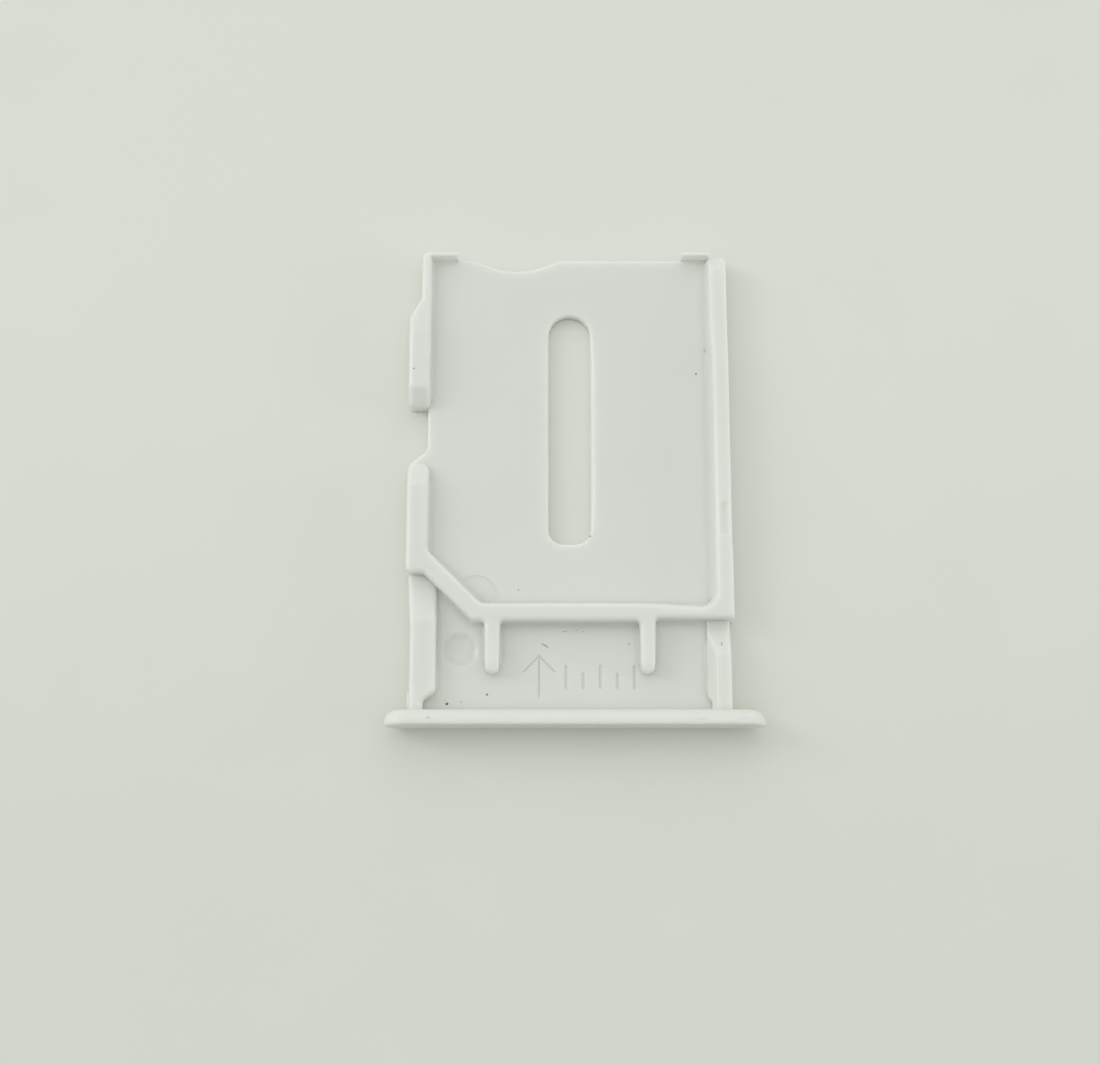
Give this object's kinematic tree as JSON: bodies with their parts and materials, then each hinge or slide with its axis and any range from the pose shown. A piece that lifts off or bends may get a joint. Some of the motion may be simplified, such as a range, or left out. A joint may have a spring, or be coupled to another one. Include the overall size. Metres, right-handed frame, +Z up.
{
  "type": "sim card tray",
  "caption": "White moulded sim card tray: shallow card pocket with a cut corner and a slot in its floor, notched guide rails, prongs and a round-ended front plate.",
  "frame": {"origin": "under the middle of the tray's box, on its flat underside", "axes": "+Y is the way the tray goes into the phone, with the front plate at -Y; +Z is up, out of the card pocket"},
  "size_m": [0.016, 0.0212, 0.0019],
  "materials": {
    "tray_plastic": "fine satin white, as moulded"
  },
  "bodies": {
    "root": {"card_tray": "tray_plastic"}
  },
  "joints": []
}
